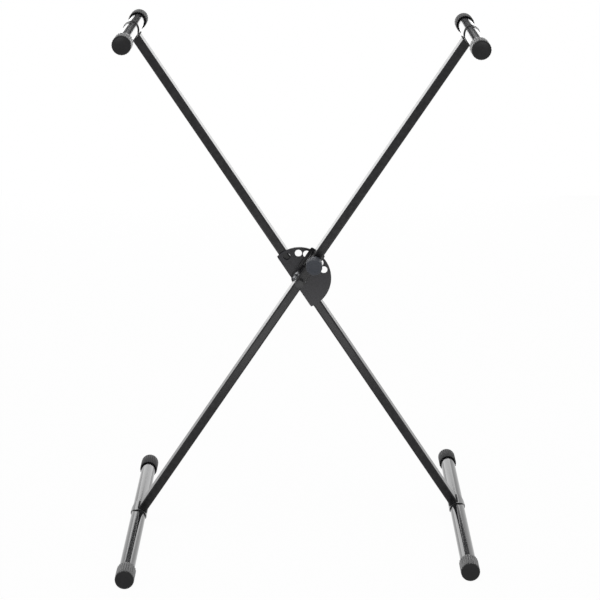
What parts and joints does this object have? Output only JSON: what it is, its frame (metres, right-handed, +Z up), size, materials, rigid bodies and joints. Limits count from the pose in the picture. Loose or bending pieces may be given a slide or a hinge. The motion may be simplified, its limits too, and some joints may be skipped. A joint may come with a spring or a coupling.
{
  "type": "folding keyboard stand",
  "caption": "Folding X-frame stand for a keyboard: crossed steel legs on a pivot bolt, spring lock pin in a holed D plate, round arm and foot tubes with fluted rubber caps.",
  "frame": {"origin": "on the floor, midway between the four feet", "axes": "+Z up, the lock knob faces -Y, the arms and feet run along Y"},
  "size_m": [0.5852, 0.5872, 0.8634],
  "materials": {
    "leg_coat": "satin black powder coat",
    "tube_coat": "gloss black coat",
    "cap_rubber": "moulded black rubber",
    "zinc": "bright zinc plate",
    "black_steel": "black-finished steel",
    "nylon": "black nylon",
    "knob_plastic": "blue-grey moulded plastic",
    "spring_steel": "oiled spring wire"
  },
  "bodies": {
    "rear_frame": {"rear_leg": "leg_coat", "rear_leg_bush": "zinc", "right_foot_tube": "tube_coat", "right_foot_collar": "tube_coat", "right_foot_front_cap": "cap_rubber", "right_foot_back_cap": "cap_rubber", "left_arm_tube": "tube_coat", "left_arm_collar": "tube_coat", "left_arm_front_cap": "cap_rubber", "left_arm_back_cap": "cap_rubber", "lock_plate": "leg_coat", "pivot_bolt": "black_steel", "head_washer": "black_steel", "nylon_washer": "nylon", "spacer_washer": "zinc", "nut_washer": "zinc", "lock_nut": "zinc"},
    "front_frame": {"front_leg": "leg_coat", "front_leg_bush": "zinc", "left_foot_tube": "tube_coat", "left_foot_collar": "tube_coat", "left_foot_front_cap": "cap_rubber", "left_foot_back_cap": "cap_rubber", "right_arm_tube": "tube_coat", "right_arm_collar": "tube_coat", "right_arm_front_cap": "cap_rubber", "right_arm_back_cap": "cap_rubber", "lock_bracket": "leg_coat", "guide_bush": "zinc", "lock_spring": "spring_steel"},
    "lock_plunger": {"lock_pin": "zinc", "lock_knob": "knob_plastic"}
  },
  "joints": [
    {"name": "legs_fold", "type": "hinge", "parent": "rear_frame", "child": "front_frame", "pos_m": [0, 0.02, 0.43172], "axis": [0, 1, 0], "range_deg": [-63.56, 36.5]},
    {"name": "lock_pin_pull", "type": "slide", "parent": "front_frame", "child": "lock_plunger", "axis": [0, -1, 0], "range_m": [-0.0035, 0.0025], "stiffness_N_per_m": 600, "springref_m": -0.008, "deforming": ["lock_spring"]}
  ]
}
